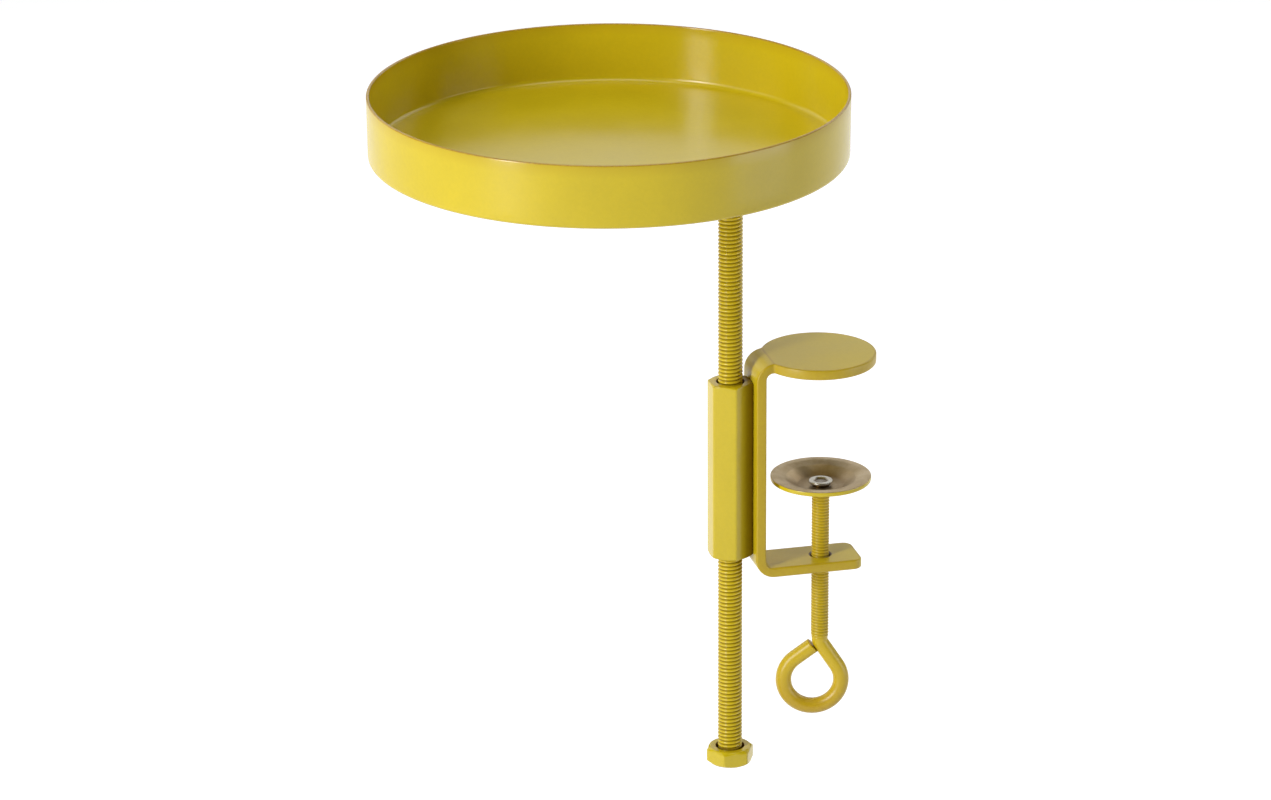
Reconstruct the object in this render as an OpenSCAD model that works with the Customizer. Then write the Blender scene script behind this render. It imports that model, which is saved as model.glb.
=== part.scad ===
// Round tray on a long threaded rod, held at a table's or a bed frame's edge by a screw clamp.
// The origin lies on the upper jaw's underside, which meets the board, on the clamp screw's axis.
// +Z is up and +X points from the clamp's upright towards the middle of the board.

/* [Tray] */
// Outside diameter of the tray
tray_d = 147.9; // [110:0.1:180]
// Outside height of the tray
tray_h = 19.7; // [12:0.1:30]
// Thickness of the tray's sheet
tray_t = 1; // [0.6:0.1:1.6]
// Outside radius of the pressed corner between floor and wall
tray_corner = 1.2; // [1.1:0.1:4]
// Distance from the rod's axis to the tray's centre
tray_offset = 38.5; // [0:0.1:45]
// Height of the tray's underside above the jaw, as shown
tray_lift = 73.8; // [72:0.1:100]

/* [Rod] */
// Outside diameter of the rod's thread
rod_d = 7.9; // [7.8:0.05:7.95]
// Depth of the rod's thread
rod_thread_depth = 0.6; // [0.4:0.05:0.7]
// Pitch of the rod's thread
rod_pitch = 1.25; // [1:0.25:1.25]
// Radial gap between the rod and the pieces that it passes through
rod_gap = 0.05; // [0.02:0.01:0.08]
// Gap left over the rod's upper end, under the tray
rod_end_gap = 0.3; // [0.2:0.1:1]

/* [Nuts] */
// Width across flats of the two nuts
nut_flats = 13.5; // [12.6:0.1:13.8]
// Height of the two nuts
nut_h = 5.3; // [4.6:0.1:8]
// Height of the stop nut's top face, measured down from the jaw
stop_nut_drop = 128.1; // [100:0.1:150]
// Depth of the rod's lower end inside the stop nut
stop_nut_recess = 0.6; // [0.2:0.1:1.5]
// Turn of the nuts' corners about the rod
nut_turn = 1; // [0:1:59]

/* [Sleeve] */
// Width across flats of the sleeve that guides the rod
sleeve_flats = 13; // [12.6:0.1:13.4]
// Length of the sleeve
sleeve_l = 58; // [40:1:58]
// Height of the sleeve's top face, measured down from the jaw
sleeve_drop = 4; // [3.4:0.1:6]
// Widening of the bores' countersunk mouths
mouth = 0.35; // [0.2:0.05:0.6]
// Depth that the sleeve's and nuts' hexagon corners are turned off at the ends
corner_cut = 0.6; // [0.3:0.1:0.8]

/* [Clamp bracket] */
// Thickness of the flat bar
bar_t = 3.2; // [2.8:0.1:4]
// Width of the flat bar
bar_w = 16; // [14:0.1:17]
// Inside radius of the two bends
bend_r = 2.2; // [1.5:0.1:2.5]
// Outside radius of the two bends, where the bar is drawn thinner
bend_outer_r = 6.2; // [5.7:0.1:7.4]
// Diameter of the round upper jaw
jaw_d = 36.4; // [34:0.1:40]
// Distance of the jaw's middle from the clamp screw's axis, towards the upright
jaw_offset = 1.1; // [0:0.1:2]
// Distance between the upper jaw and the lower arm
throat_h = 65.3; // [63:0.1:75]
// Distance from the clamp screw's axis to the upright's inner face
throat_depth = 19.9; // [19:0.1:22]
// Distance that the lower arm reaches past the clamp screw's axis
arm_reach = 12; // [9:0.5:15]
// Radius of the lower arm's corners
arm_corner = 3; // [1:0.5:5]
// Radius of the inside corner where the bar widens into the jaw
neck_r = 0.8; // [0.4:0.1:0.9]

/* [Clamp screw] */
// Outside diameter of the clamp screw's thread
screw_d = 5.9; // [5.8:0.05:5.95]
// Depth of the clamp screw's thread
screw_thread_depth = 0.45; // [0.3:0.05:0.5]
// Pitch of the clamp screw's thread
screw_pitch = 1; // [0.75:0.25:1]
// Radial gap between the clamp screw and the lower arm
screw_gap = 0.05; // [0.02:0.01:0.08]
// Distance from the jaw down to the thread's lower end, as shown
screw_end_drop = 94.3; // [92:0.1:110]
// Diameter of the wire of the eye
wire_d = 5.05; // [4.5:0.05:5.15]
// Radius of the eye, to the middle of the wire
eye_r = 9.2; // [9:0.1:12]
// Radius of the bend between the screw and the eye, to the middle of the wire
eye_bend_r = 2.7; // [2.6:0.1:5]
// Distance of the eye's middle beside the screw's axis, away from the leaning leg
eye_offset = 2.3; // [1:0.1:3]
// Slope of the eye's leaning leg, off upright
eye_lean = 33.3; // [30:0.1:40]
// Place round the eye where the wire leaves it for the cut end, up from level
eye_leave = 52.5; // [45:0.5:57]
// Distance between the wire's cut end and the leaning leg
eye_slit = 0.2; // [0.15:0.05:0.8]
// Turn of the eye about the clamp screw, as shown
eye_turn = -14; // [-90:1:90]

/* [Swivel cup] */
// Diameter of the cup's rim
cup_d = 31.9; // [28:0.1:34]
// Distance from the jaw down to the cup's rim, as shown
cup_drop = 38.3; // [26:0.1:55]
// Depth of the cup, inside
cup_depth = 3.6; // [3.2:0.1:5]
// Width of the cup's flat rim
cup_rim_w = 2; // [1:0.1:2.6]
// Diameter of the cup's dish, at the foot of the rim's gentle slope
cup_dish_d = 22; // [20:0.1:23]
// Fall of the rim's gentle slope
cup_slope_drop = 0.9; // [0.5:0.1:1.4]
// Diameter of the dish at the foot of its steep wall
cup_foot_d = 14.4; // [13.5:0.1:16]
// Height of the steep wall's foot above the dish's floor
cup_foot_rise = 0.35; // [0.2:0.05:0.6]
// Diameter of the dish's flat floor
cup_floor_d = 11; // [9:0.1:12]
// Thickness of the cup's sheet
cup_t = 1.2; // [0.6:0.1:1.3]
// Diameter of the pin that the cup turns on
pin_d = 5.2; // [4.5:0.1:5.2]
// Radial gap between the pin and the cup
pin_gap = 0.08; // [0.03:0.01:0.09]
// Gap between the cup and the screw's shoulder under it
shoulder_gap = 0.15; // [0.1:0.05:0.3]
// Diameter of the riveted head on the pin
head_d = 7.6; // [6.5:0.1:9]
// Thickness of the riveted head
head_t = 0.8; // [0.7:0.1:1]
// Distance from the cup's rim down to the riveted head
head_drop = 1.4; // [1:0.1:1.6]
// Diameter of the dimple in the riveted head
dimple_d = 4.9; // [3:0.1:5.5]
// Depth of the dimple in the riveted head
dimple_depth = 0.4; // [0.2:0.05:0.4]

/* [Welds] */
// Side of the welds' triangular section
weld_leg = 2.2; // [1.5:0.1:2.5]
// Length of each weld between sleeve and upright
sleeve_weld_l = 9; // [5:0.5:15]
// Distance from the sleeve's ends to the welds
sleeve_weld_inset = 1.2; // [1:0.1:5]
// Length of each weld between tray and nut
tray_weld_l = 5; // [3:0.5:6]

/* [Hidden] */
COAT = "goldenrod";
BARE = "darkkhaki";
SMOOTH = 64;
OVER = 1;
EDGE_STEP = 0.1;
LAP = 0.2;
SLIM = 0.02;

upright_x = -throat_depth - bar_t;
rod_x = upright_x - sleeve_flats / 2;
tray_x = rod_x - tray_offset;
arm_top = -throat_h;
arm_bottom = arm_top - bar_t;
sleeve_top = -sleeve_drop;
sleeve_bottom = sleeve_top - sleeve_l;
stop_nut_top = -stop_nut_drop;
rod_bottom = stop_nut_top - nut_h + stop_nut_recess;
rod_top = tray_lift - rod_end_gap;
rod_bore = rod_d / 2 + rod_gap;
cup_z = -cup_drop;
cup_floor = cup_z - cup_depth;
cup_bottom = cup_floor - cup_t;
thread_top = cup_bottom - shoulder_gap;
thread_end = -screw_end_drop;

// The leaning leg is a tangent to the eye, and meets the screw's axis at the kink
lean_s = sin(eye_lean);
lean_c = cos(eye_lean);
leg_tangent = eye_bend_r * tan(eye_lean / 2);
kink_z = (eye_r - eye_offset * lean_c) / lean_s;
eye_z = thread_end - leg_tangent - kink_z;
leg_l = kink_z * lean_c - eye_offset * lean_s - leg_tangent;
// The cut end is another tangent, as long as the leaning leg lets it be
leave_at = 180 - eye_leave;
cut_skew = leave_at - 90 - eye_lean;
cut_room = eye_r - wire_d / 2 * (1 + sin(cut_skew)) - eye_slit;
cut_l = (cut_room - eye_r * cos(leave_at - eye_lean)) / cos(cut_skew);

// Points of a row of V grooves along a bar from z0 up to z1, as [radius, height]
function grooves(z0, z1, outer, depth, pitch) =
    let (turns = floor((z1 - z0 - pitch) / pitch), first = z0 + (z1 - z0 - turns * pitch) / 2)
    concat(
        [[0, z0], [outer - depth, z0]],
        [for (i = [0 : turns]) each
            i < turns
                ? [[outer, first + i * pitch], [outer - depth, first + (i + 0.5) * pitch]]
                : [[outer, first + i * pitch]]],
        [[outer - depth, z1], [0, z1]]
    );

module grooved_bar(z0, z1, outer, depth, pitch) {
    rotate_extrude($fn = SMOOTH)
        polygon(grooves(z0, z1, outer, depth, pitch));
}

// Hexagon bar standing on z = 0, bored through, with turned-off corners and countersunk mouths.
// The turned cone starts a small step inside the flats and ends a small step outside the corners.
module hexagon_bar(flats, height, bore) {
    corner = flats / 2 / cos(30);
    start_r = flats / 2 - EDGE_STEP;
    end_r = corner + EDGE_STEP;
    end_z = corner_cut + EDGE_STEP;
    difference() {
        intersection() {
            cylinder(r = corner, h = height, $fn = 6);
            rotate_extrude($fn = SMOOTH)
                polygon([
                    [0, 0], [start_r, 0], [end_r, end_z],
                    [end_r, height - end_z], [start_r, height], [0, height]
                ]);
        }
        translate([0, 0, -OVER])
            cylinder(r = bore, h = height + 2 * OVER, $fn = SMOOTH);
        for (z = [0, height])
            translate([0, 0, z])
                double_cone(bore + mouth, mouth);
    }
}

// Two cones base to base, widest at z = 0, which cut a countersunk mouth
module double_cone(r, depth) {
    rotate_extrude($fn = SMOOTH)
        polygon([[0, -depth], [r - depth, -depth], [r, 0], [r - depth, depth], [0, depth]]);
}

// Section of the pressed tray, outside or inside, as a bowl-shaped half outline with a round corner
module bowl_section(radius, z0, z1, corner) {
    translate([0, z0 + corner])
        square([radius, z1 - z0 - corner]);
    translate([0, z0])
        square([radius - corner, z1 - z0]);
    translate([radius - corner, z0 + corner])
        circle(r = corner, $fn = SMOOTH);
}

module tray() {
    color(COAT)
    translate([tray_x, 0, tray_lift])
        rotate_extrude($fn = 2 * SMOOTH)
            intersection() {
                difference() {
                    bowl_section(tray_d / 2, 0, tray_h, tray_corner);
                    bowl_section(tray_d / 2 - tray_t, tray_t, tray_h + OVER, tray_corner - tray_t);
                }
                square([tray_d, tray_h]);
            }
}

module tray_nut() {
    color(COAT)
    translate([rod_x, 0, tray_lift - nut_h])
        rotate([0, 0, nut_turn])
            hexagon_bar(nut_flats, nut_h, rod_bore);
}

module tray_welds() {
    color(COAT)
    translate([rod_x, 0, tray_lift])
        for (flat = [30 : 120 : 270])
            rotate([0, 0, nut_turn + flat])
                translate([nut_flats / 2, 0, 0])
                    rotate([90, 0, 0])
                        linear_extrude(tray_weld_l, center = true)
                            polygon([[0, 0], [0, -weld_leg], [weld_leg, 0]]);
}

module threaded_rod() {
    color(COAT)
    translate([rod_x, 0, 0])
        grooved_bar(rod_bottom, rod_top, rod_d / 2, rod_thread_depth, rod_pitch);
}

module stop_nut() {
    color(COAT)
    translate([rod_x, 0, stop_nut_top - nut_h])
        rotate([0, 0, nut_turn])
            hexagon_bar(nut_flats, nut_h, rod_bore);
}

module rod_sleeve() {
    color(COAT)
    translate([rod_x, 0, sleeve_bottom])
        rotate([0, 0, 30])
            hexagon_bar(sleeve_flats, sleeve_l, rod_bore);
}

// Two welds in the corner between the sleeve's far flank and the upright, near the sleeve's ends
module sleeve_welds() {
    half_flat = sleeve_flats / 2 * tan(30);
    color(COAT)
    for (z = [sleeve_bottom + sleeve_weld_inset, sleeve_top - sleeve_weld_inset - sleeve_weld_l])
        translate([upright_x, half_flat, z])
            linear_extrude(sleeve_weld_l)
                polygon([[0, 0], [0, weld_leg], [-weld_leg * cos(30), weld_leg * sin(30)]]);
}

// Plan of the upper jaw: a disc, the bar, and a small round corner on each side between them
module jaw_plan() {
    jaw_r = jaw_d / 2;
    half_w = bar_w / 2;
    corner_y = half_w + neck_r;
    corner_x = -sqrt(pow(jaw_r + neck_r, 2) - pow(corner_y, 2));
    touch = jaw_r / (jaw_r + neck_r);
    translate([upright_x, -half_w])
        square([-upright_x, bar_w]);
    translate([-jaw_offset, 0]) {
        circle(r = jaw_r, $fn = 2 * SMOOTH);
        for (side = [0, 1])
            mirror([0, side])
                difference() {
                    polygon([
                        [corner_x, half_w - OVER], [corner_x, corner_y],
                        [corner_x * touch, corner_y * touch], [corner_x * touch + OVER, half_w - OVER]
                    ]);
                    translate([corner_x, corner_y])
                        circle(r = neck_r, $fn = SMOOTH);
                }
    }
}

// Plan of the lower arm, with a round corner at each side of its end
module arm_plan() {
    half_w = bar_w / 2;
    translate([upright_x, -half_w])
        square([arm_reach - arm_corner - upright_x, bar_w]);
    translate([upright_x, -half_w + arm_corner])
        square([arm_reach - upright_x, bar_w - 2 * arm_corner]);
    for (y = [-half_w + arm_corner, half_w - arm_corner])
        translate([arm_reach - arm_corner, y])
            circle(r = arm_corner, $fn = SMOOTH);
}

// Side view of a block from x to a reach in front, with its two corners at x rounded
module side_block(x, z0, z1, r, reach) {
    translate([x, z0 + r])
        square([reach - x, z1 - z0 - 2 * r]);
    translate([x + r, z0])
        square([reach - x - r, z1 - z0]);
    for (z = [z0 + r, z1 - r])
        translate([x + r, z])
            circle(r = r, $fn = SMOOTH);
}

// The bent bar's side view gives its faces and bends, and the two plans give its outline
module clamp_bracket() {
    screw_bore = screw_d / 2 + screw_gap;
    half_way = arm_top / 2;
    color(COAT)
    difference() {
        intersection() {
            rotate([90, 0, 0])
                linear_extrude(jaw_d + OVER, center = true)
                    difference() {
                        side_block(upright_x, arm_bottom, bar_t, bend_outer_r, jaw_d);
                        side_block(-throat_depth, arm_top, 0, bend_r, jaw_d + OVER);
                    }
            union() {
                translate([0, 0, half_way])
                    linear_extrude(bar_t - half_way + OVER)
                        jaw_plan();
                translate([0, 0, arm_bottom - OVER])
                    linear_extrude(half_way - arm_bottom + OVER)
                        arm_plan();
            }
        }
        translate([0, 0, arm_bottom - OVER])
            cylinder(r = screw_bore, h = bar_t + 2 * OVER, $fn = SMOOTH);
        for (z = [arm_bottom, arm_top])
            translate([0, 0, z])
                double_cone(screw_bore + mouth, mouth);
    }
}

// A straight length of the eye's wire in the eye's own plane, from a point along a direction.
// It is a hair thinner than the round lengths, and its ends stand a little way inside them.
module wire(u, z, lean, length) {
    translate([u, z, 0])
        rotate([0, 0, lean])
            translate([-LAP, 0, 0])
                rotate([0, 90, 0])
                    cylinder(d = wire_d - 2 * SLIM, h = length + LAP, $fn = SMOOTH);
}

// A round length of wire about the origin, from one angle to another
module wire_arc(radius, from, to) {
    rotate([0, 0, from])
        rotate_extrude(angle = to - from, $fn = SMOOTH)
            translate([radius, 0])
                circle(d = wire_d, $fn = SMOOTH);
}

// The eye in its own plane: the bend under the thread, the leaning leg, the loop and the cut end
module eye() {
    translate([eye_bend_r, thread_end])
        wire_arc(eye_bend_r, 180, 180 + eye_lean);
    translate([-eye_offset, eye_z]) {
        wire(eye_r * lean_c, eye_r * lean_s, 90 + eye_lean, leg_l + LAP);
        wire_arc(eye_r, leave_at, 360 + eye_lean);
        wire(eye_r * cos(leave_at), eye_r * sin(leave_at), leave_at - 90, cut_l);
    }
}

module clamp_screw() {
    head_top = cup_z - head_drop;
    pin_bottom = thread_top - LAP;
    pin_top = head_top - head_t + LAP;
    color(COAT)
    rotate([0, 0, eye_turn]) {
        grooved_bar(thread_end, thread_top, screw_d / 2, screw_thread_depth, screw_pitch);
        rotate([90, 0, 0])
            eye();
        translate([0, 0, pin_bottom])
            cylinder(d = pin_d, h = pin_top - pin_bottom, $fn = SMOOTH);
        difference() {
            translate([0, 0, head_top - head_t])
                cylinder(d = head_d, h = head_t, $fn = SMOOTH);
            translate([0, 0, head_top])
                double_cone(dimple_d / 2, dimple_depth);
        }
    }
}

// Point that lies one sheet thickness under the middle one of three points
function under_sheet(a, b, c) =
    let (ab = (b - a) / norm(b - a), bc = (c - b) / norm(c - b))
    b + cup_t * [-ab.y - bc.y, ab.x + bc.x] / (1 + ab * bc);

module swivel_cup() {
    rim = cup_d / 2;
    hole = pin_d / 2 + pin_gap;
    inside = [
        [rim, 0], [rim - cup_rim_w, 0], [cup_dish_d / 2, -cup_slope_drop],
        [cup_foot_d / 2, cup_foot_rise - cup_depth], [cup_floor_d / 2, -cup_depth], [hole, -cup_depth]
    ];
    outside = [
        for (i = [4 : -1 : 1]) under_sheet(inside[i - 1], inside[i], inside[i + 1])
    ];
    color(BARE)
    translate([0, 0, cup_z])
        rotate_extrude($fn = SMOOTH)
            polygon(concat(inside, [[hole, -cup_depth - cup_t]], outside, [[rim, -cup_t]]));
}

tray();
tray_nut();
tray_welds();
threaded_rod();
stop_nut();
rod_sleeve();
sleeve_welds();
clamp_bracket();
clamp_screw();
swivel_cup();
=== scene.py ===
"""Draws a clip-on shelf: a round pressed tray on a threaded rod, clamped to the edge of a board.

Sizes are millimetres in the part's own frame until a mesh is made. The origin lies on the upper jaw's
underside, on the clamp screw's axis, +Z is up, and +X points from the clamp's upright into the board.
"""
import math

import bmesh
import bpy
import numpy as np
from mathutils import Matrix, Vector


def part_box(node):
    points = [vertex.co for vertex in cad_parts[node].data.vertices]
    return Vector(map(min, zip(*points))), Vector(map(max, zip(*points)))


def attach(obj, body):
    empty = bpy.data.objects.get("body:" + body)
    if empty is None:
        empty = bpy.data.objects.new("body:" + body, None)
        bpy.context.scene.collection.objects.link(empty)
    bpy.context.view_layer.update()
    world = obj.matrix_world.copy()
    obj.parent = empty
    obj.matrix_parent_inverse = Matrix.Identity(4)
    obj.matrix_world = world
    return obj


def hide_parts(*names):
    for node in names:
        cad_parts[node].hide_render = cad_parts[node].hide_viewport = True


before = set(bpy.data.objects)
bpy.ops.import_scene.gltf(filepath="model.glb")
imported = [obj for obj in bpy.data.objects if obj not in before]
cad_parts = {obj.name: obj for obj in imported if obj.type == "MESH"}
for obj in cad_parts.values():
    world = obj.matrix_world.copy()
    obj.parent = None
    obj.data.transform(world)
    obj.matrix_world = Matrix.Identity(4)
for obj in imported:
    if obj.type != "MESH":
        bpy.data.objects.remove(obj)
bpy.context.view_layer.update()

MM = 0.001
TURN = 2 * math.pi


def solid_box(node):
    """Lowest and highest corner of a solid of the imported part, in millimetres."""
    low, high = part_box(node)
    return np.array(low) / MM, np.array(high) / MM


tray_low, tray_high = solid_box("tray")
rod_low, rod_high = solid_box("threaded_rod")
sleeve_low, sleeve_high = solid_box("rod_sleeve")
tray_nut_low, tray_nut_high = solid_box("tray_nut")
stop_nut_low, stop_nut_high = solid_box("stop_nut")
bar_low, _ = solid_box("clamp_bracket")
_, screw_high = solid_box("clamp_screw")
cup_low, cup_high = solid_box("swivel_cup")

# Places that several pieces share
tray_x = (tray_low[0] + tray_high[0]) / 2
rod_x = (rod_low[0] + rod_high[0]) / 2

# The pressed tray: its sheet, how far its wall leans out, and the rounding of its corners
TRAY_T = 1.0
TRAY_LEAN = 0.2
TRAY_FOOT_R = 1.15
TRAY_RIM_R = 0.42
TRAY_FILLET_R = 1.7

# The bent bar
BAR_T = 3.2
BAR_W = 16.0
BAR_EDGE_R = 0.5
JAW_R = 18.2
JAW_OFFSET = 1.1
NECK_R = 0.8
INSIDE_R = 2.2
OUTSIDE_R = 6.2
THROAT_DEPTH = 19.9
THROAT_H = 65.3
ARM_REACH = 12.0
ARM_CORNER = 3.0
ARM_HOLE_R = 3.02
ARM_MOUTH_R = 3.5
HOLE_FACE_HALF = 4.6
# Lengths along the bar's blank: from the screw's axis to a bend, over a bend, and between the bends
TO_BEND = THROAT_DEPTH + BAR_T - OUTSIDE_R
OVER_BEND = (OUTSIDE_R - BAR_T / 2) * math.pi / 2
BETWEEN_BENDS = THROAT_H + 2 * BAR_T - 2 * OUTSIDE_R
TO_HOLE = 2 * TO_BEND + 2 * OVER_BEND + BETWEEN_BENDS

# The rod and what it runs in
ROD_PITCH = 1.25
ROD_CREST_R = 3.88
ROD_ROOT_R = 3.36
BORE_R = 4.12
END_CUT = 1.0
SLEEVE_FLATS = 13.0
SLEEVE_CORNER_R = 0.9
SLEEVE_MOUTH_R = 4.45
NUT_FLATS = 13.5
NUT_CORNER_R = 0.8
NUT_MOUTH_R = 4.6
NUT_TURN = math.radians(1)

# The clamp screw and its eye
SCREW_PITCH = 1.0
SCREW_CREST_R = 2.84
SCREW_ROOT_R = 2.56
THREAD_TOP = -43.25
THREAD_END = -94.3
WIRE_R = 2.52
EYE_R = 9.2
EYE_BEND_R = 2.7
EYE_OFFSET = 2.3
EYE_LEAN = math.radians(33.3)
EYE_LEAVE = math.radians(127.5)
EYE_SLIT = 0.12
EYE_TURN = math.radians(-14)
# The wire's last rings round its cut end: how far back each lies, and its radius
CUT_BACK = np.array([0.15, 0.05, 0, 0, 0])
CUT_R = WIRE_R - np.array([0.02, 0.09, 0.2, WIRE_R / 2, WIRE_R])

# The riveted pin and the pressed cup that it holds
PIN_R = 2.55
HEAD_R = 3.8
HEAD_T = 0.8
HEAD_DIMPLE = 0.45
CUP_DEPTH = 3.6
CUP_T = 1.1
CUP_LIP = 1.5

# The weld beads
SLEEVE_BEAD_R = 1.1
SLEEVE_BEAD_L = 9
SLEEVE_BEAD_INSET = 1.2
NUT_BEAD_R = 1.0
NUT_BEAD_L = 5.2
RIPPLE_L = 0.95

# The camera fitted to the photograph: degrees, millimetres, and a focal length in pixels
CAMERA_AZIMUTH = -14
CAMERA_PITCH = 20.32
CAMERA_ROLL = -0.30
CAMERA_AWAY = 1723.46
AIM_RIGHT = -58.32
AIM_UP = -13.01
AIM_HEIGHT = 0.69
FOCAL_PIXELS = 5500
PHOTO_WIDTH = 1271
SENSOR_WIDTH = 36

# The studio, in metres
LAMP_AIM = np.array([-0.05, 0, -0.02])
LAMP_AWAY = 1.3
FLOOR_HALF = 6
FLOOR_Z = -0.3


def finished_mesh(name, points, faces, sharp_above=50):
    """Mesh object from points in millimetres and faces: points that coincide are merged, which closes
    poles and seams, the faces are turned outwards, and only steep edges stay sharp."""
    mesh = bpy.data.meshes.new(name)
    mesh.from_pydata(np.asarray(points) * MM, [], faces)
    work = bmesh.new()
    work.from_mesh(mesh)
    bmesh.ops.remove_doubles(work, verts=work.verts, dist=1e-7)
    bmesh.ops.recalc_face_normals(work, faces=work.faces)
    work.to_mesh(mesh)
    work.free()
    mesh.shade_smooth()
    mesh.set_sharp_from_angle(angle=math.radians(sharp_above))
    piece = bpy.data.objects.new(name, mesh)
    bpy.context.scene.collection.objects.link(piece)
    return piece


def ring_quads(rows, columns, closed=False, lead=0):
    """Corner numbers of the quads between rings of points. Where closed, the last ring meets the
    first. With a lead, a ring doesn't end where it began but that many rings further, as a thread does."""
    here, column = np.meshgrid(np.arange(rows if closed else rows - 1), np.arange(columns), indexing="ij")
    there = here + np.where(column + 1 == columns, lead, 0)
    right = (column + 1) % columns
    quads = np.stack([
        here % rows * columns + column, there % rows * columns + right,
        (there + 1) % rows * columns + right, (here + 1) % rows * columns + column,
    ], -1)
    inside = (there + 1 < rows) | closed
    return quads[inside].tolist()


def skin(name, rings, closed=False, sharp_above=50):
    """Piece whose surface runs through rings of points, given as rows x columns x 3."""
    rows, columns, _ = rings.shape
    return finished_mesh(name, rings.reshape(-1, 3), ring_quads(rows, columns, closed), sharp_above)


def unit(angle):
    """Directions at angles from the first axis towards the second."""
    return np.stack([np.cos(angle), np.sin(angle)], -1)


def round_points(radius, angle, height):
    """Points at a radius and an angle round the upright through the origin, and at a height."""
    return np.stack(np.broadcast_arrays(radius * np.cos(angle), radius * np.sin(angle), height), -1)


def full_circle(columns):
    """Angles of the points of a ring."""
    return np.arange(columns) / columns * TURN


def rounded(corners, radii, steps=6):
    """Outline through corners, each rounded by an arc: the arc starts r * tan(turn / 2) before the
    corner and ends as far behind it, and its points turn evenly from one direction to the other."""
    corners = np.asarray(corners, float)
    chain = [corners[:1]]
    for before, corner, after, radius in zip(corners, corners[1:], corners[2:], radii):
        come = (corner - before) / np.linalg.norm(corner - before)
        go = (after - corner) / np.linalg.norm(after - corner)
        turn = math.atan2(come[0] * go[1] - come[1] * go[0], come @ go)
        side = math.copysign(1, turn)
        start = corner - come * radius * math.tan(abs(turn) / 2)
        centre = start + side * radius * np.array([-come[1], come[0]])
        angle = np.linspace(0, turn, steps + 1)[:, None]
        spoke = start - centre
        across = np.array([-spoke[1], spoke[0]])
        chain.append(centre + np.cos(angle) * spoke + np.sin(angle) * across)
    chain.append(corners[-1:])
    return np.concatenate(chain)


def lathed(name, outline, x, columns, closed=False, sharp_above=50):
    """Outline of radius and height, turned about the upright through x."""
    rings = round_points(outline[:, :1], full_circle(columns), outline[:, 1:]) + [x, 0, 0]
    return skin(name, rings, closed, sharp_above)


def mark(piece, name, share):
    """Writes a number from 0 to 1 at each of a piece's points, worked out from the points'
    x, y and z in millimetres, for its material to read."""
    places = np.empty(len(piece.data.vertices) * 3)
    piece.data.vertices.foreach_get("co", places)
    x, y, z = places.reshape(-1, 3).T / MM
    field = piece.data.attributes.new(name, "FLOAT", "POINT")
    field.data.foreach_set("value", np.clip(share(x, y, z), 0, 1).astype(np.float32))


def ease(value, low, high):
    """0 below low, 1 above high, and a smooth S between them."""
    t = np.clip((value - low) / (high - low), 0, 1)
    return t * t * (3 - 2 * t)


def soft_least(a, b, blend):
    """The lesser of two lengths, with a rounded change from one to the other: -b log(e^-a/b + e^-b/b)."""
    return -blend * np.logaddexp(-a / blend, -b / blend)


# Shapes

def pressed_tray():
    """Floor and wall of one sheet. The outline runs out under the floor, up outside the wall, over the
    rim, down inside and back in over the floor. The wall leans out, and all corners are rounded."""
    radius, height = tray_high[0] - tray_x, tray_high[2] - tray_low[2]
    steps = 8
    sheet = rounded([
        [0, 0], [radius - TRAY_LEAN, 0], [radius, height], [radius - TRAY_T, height],
        [radius - TRAY_T - TRAY_LEAN, TRAY_T], [0, TRAY_T],
    ], [TRAY_FOOT_R, TRAY_RIM_R, TRAY_RIM_R, TRAY_FILLET_R], steps)
    arc = steps + 1
    first, foot, rim, fillet, last = np.split(sheet, np.cumsum([1, arc, 2 * arc, arc]))
    # More rings across the floor and up the wall keep their long faces evenly shaded
    under = np.array([[reach, 0.0] for reach in (20, 40, 55, 66, 70)])
    over = under[::-1] + [0, TRAY_T]
    outside = np.linspace(foot[-1], rim[0], 6)[1:-1]
    inside = np.linspace(rim[-1], fillet[0], 6)[1:-1]
    outline = np.concatenate([first, under, foot, outside, rim, inside, fillet, over, last])
    piece = lathed("pressed_tray", outline + [0, tray_low[2]], tray_x, 240)
    # The coat is worn on the rim alone
    mark(piece, "edge", lambda x, y, z: ease(z, tray_high[2] - 0.55, tray_high[2] - 0.2))
    return piece


def thread_radius(phase, root, crest):
    """Radius over one turn of a painted thread: broad round crests and narrow soft grooves, from the
    size of the sine of half the phase, with the sharp bottom of the groove rounded off."""
    soft = 0.16
    rise = np.sqrt(np.sin(math.pi * phase) ** 2 + soft ** 2) - soft
    return root + (crest - root) * rise / (math.sqrt(1 + soft ** 2) - soft)


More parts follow.
